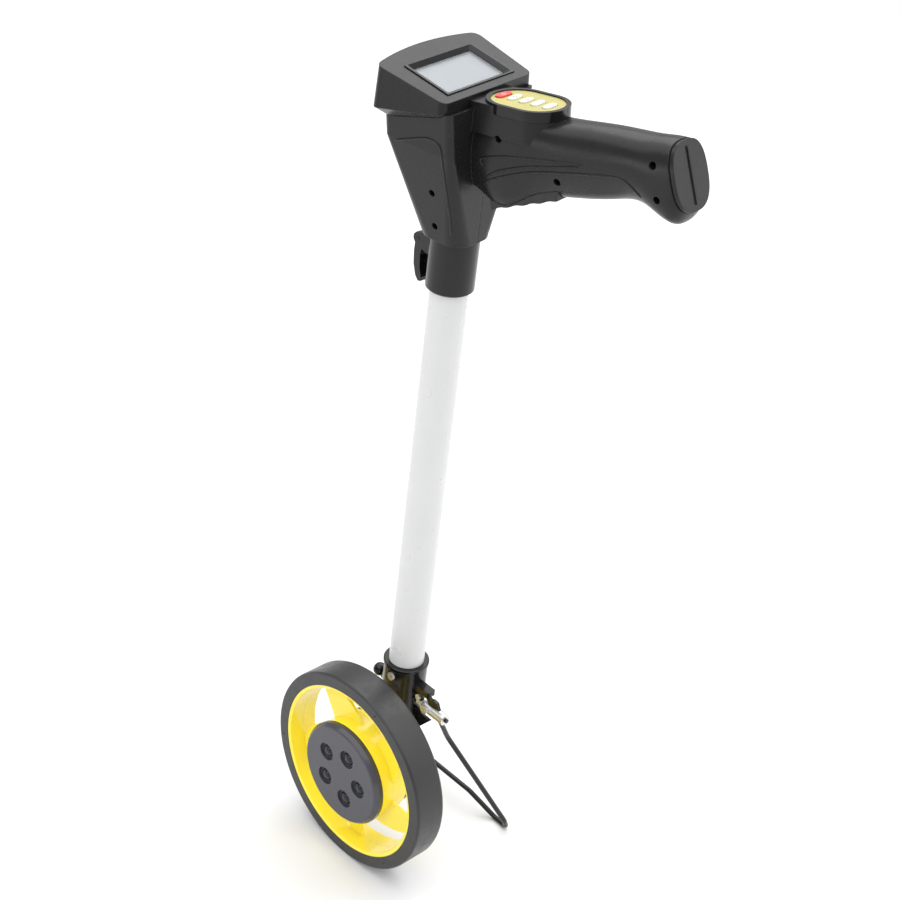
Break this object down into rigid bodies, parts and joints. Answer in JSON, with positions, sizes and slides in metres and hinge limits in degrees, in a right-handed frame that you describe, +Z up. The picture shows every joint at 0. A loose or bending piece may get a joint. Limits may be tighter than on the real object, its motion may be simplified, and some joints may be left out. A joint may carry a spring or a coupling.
{
  "type": "measuring wheel",
  "caption": "Digital measuring wheel: rubber-tyred wheel on a telescopic pole with a folding wire stand and a pistol-grip head with display and keypad.",
  "frame": {"origin": "Where the middle of the tyre's tread meets the ground, under the axle.", "axes": "+Z is up along the pole, +Y runs along the axle from the wheel's outer face to the fork, +X is the way the handle points, towards the user."},
  "size_m": [0.2457, 0.128, 0.6281],
  "materials": {
    "tyre_rubber": "dark grey tyre rubber, fine moulded grain, slightly worn tread",
    "yellow_plastic": "glossy yellow moulding",
    "hub_plastic": "dark blue-grey moulding, soft sheen",
    "black_gloss": "glossy black plastic",
    "black_case": "fine grained black-grey housing plastic",
    "grip_rubber": "soft matt rubber",
    "white_tube": "white powder coated aluminium tube",
    "alloy_tube": "drawn aluminium tube",
    "keypad_film": "printed yellow film on the keypad",
    "steel": "turned and zinc plated steel",
    "black_steel": "black coated steel",
    "magnet": "nickel plated magnet",
    "nylon": "natural nylon",
    "board_green": "circuit board, solder resist",
    "brass": "stamped contact brass",
    "lens": "clear lens with a soft gloss",
    "screen": "light grey-blue display glass, blank",
    "red_key": "glossy red key",
    "white_key": "glossy white key",
    "cell_wrap": "printed cell sleeve, plain"
  },
  "bodies": {
    "pole": {"outer_tube": "white_tube", "clamp_collar": "black_gloss", "wiper_bush": "nylon", "lever_pin": "black_steel", "fork": "black_gloss", "sensor_housing": "black_case", "sensor_cover": "black_case", "sensor_board": "board_green", "sensor_screws": "steel", "axle_bolt": "steel", "axle_nut": "steel", "axle_washer": "steel", "axle_spacer": "nylon", "socket_screw": "steel", "stand_bracket": "black_steel", "stand_pivot_bolt": "steel", "stop_pin": "steel", "stand_spring": "steel"},
    "wheel": {"tyre": "tyre_rubber", "wheel_rim": "yellow_plastic", "hub_cover": "hub_plastic", "hub_plugs": "black_gloss", "front_bearing": "steel", "rear_bearing": "steel", "magnet_ring": "black_case", "sensor_magnets": "magnet"},
    "stand": {"stand_wire": "black_steel", "stand_barrel": "steel", "barrel_screw": "steel", "barrel_grub_screw": "black_steel", "stand_left_boss": "black_gloss"},
    "lever": {"lock_lever": "black_gloss"},
    "guide": {"guide_bush": "nylon"},
    "head": {"inner_tube": "alloy_tube", "tube_end_ring": "nylon", "left_shell": "black_case", "right_shell": "black_case", "case_screws": "black_steel", "display_housing": "black_case", "display_frame": "black_gloss", "display_window": "lens", "lcd_panel": "screen", "main_board": "board_green", "buzzer": "black_gloss", "keypad_frame": "black_gloss", "keypad_plate": "keypad_film", "key_board": "board_green", "dome_switches": "brass", "finger_grip": "grip_rubber", "battery_cells": "cell_wrap", "contact_springs": "steel", "contact_plate": "brass"},
    "power_key": {"power_key": "red_key"},
    "mode_key": {"mode_key": "white_key"},
    "memory_key": {"memory_key": "white_key"},
    "count_key": {"count_key": "white_key"},
    "reset_key": {"reset_key": "white_key"},
    "battery_cap": {"battery_cap": "black_case", "cap_contact": "brass"}
  },
  "joints": [
    {"name": "wheel_spin", "type": "hinge", "parent": "pole", "child": "wheel", "pos_m": [0, 0, 0.07958], "axis": [0, 1, 0], "continuous": true},
    {"name": "stand_swing", "type": "hinge", "parent": "pole", "child": "stand", "pos_m": [0, 0.0378, 0.1365], "axis": [1, 0, 0], "range_deg": [0, 140]},
    {"name": "lever_swing", "type": "hinge", "parent": "pole", "child": "lever", "pos_m": [-0.0225, 0.0378, 0.5015], "axis": [0, 1, 0], "range_deg": [0, 100]},
    {"name": "pole_extend", "type": "slide", "parent": "pole", "child": "guide", "axis": [0, 0, 1], "range_m": [0, 0.27]},
    {"name": "pole_turn", "type": "hinge", "parent": "guide", "child": "head", "pos_m": [0, 0.0378, 0.5], "axis": [0, 0, 1], "range_deg": [-90, 90]},
    {"name": "power_press", "type": "slide", "parent": "head", "child": "power_key", "axis": [0.1122, 0.0152, -0.9936], "range_m": [0, 0.0006], "stiffness_N_per_m": 400},
    {"name": "mode_press", "type": "slide", "parent": "head", "child": "mode_key", "axis": [0.1122, 0.0152, -0.9936], "range_m": [0, 0.0006], "stiffness_N_per_m": 400},
    {"name": "memory_press", "type": "slide", "parent": "head", "child": "memory_key", "axis": [0.1122, 0.0152, -0.9936], "range_m": [0, 0.0006], "stiffness_N_per_m": 400},
    {"name": "count_press", "type": "slide", "parent": "head", "child": "count_key", "axis": [0.1122, 0.0152, -0.9936], "range_m": [0, 0.0006], "stiffness_N_per_m": 400},
    {"name": "reset_press", "type": "slide", "parent": "head", "child": "reset_key", "axis": [0.1122, 0.0152, -0.9936], "range_m": [0, 0.0006], "stiffness_N_per_m": 400},
    {"name": "cap_pull", "type": "slide", "parent": "head", "child": "battery_cap", "axis": [0.9128, 0.1241, 0.3891], "range_m": [0, 0.02]}
  ]
}
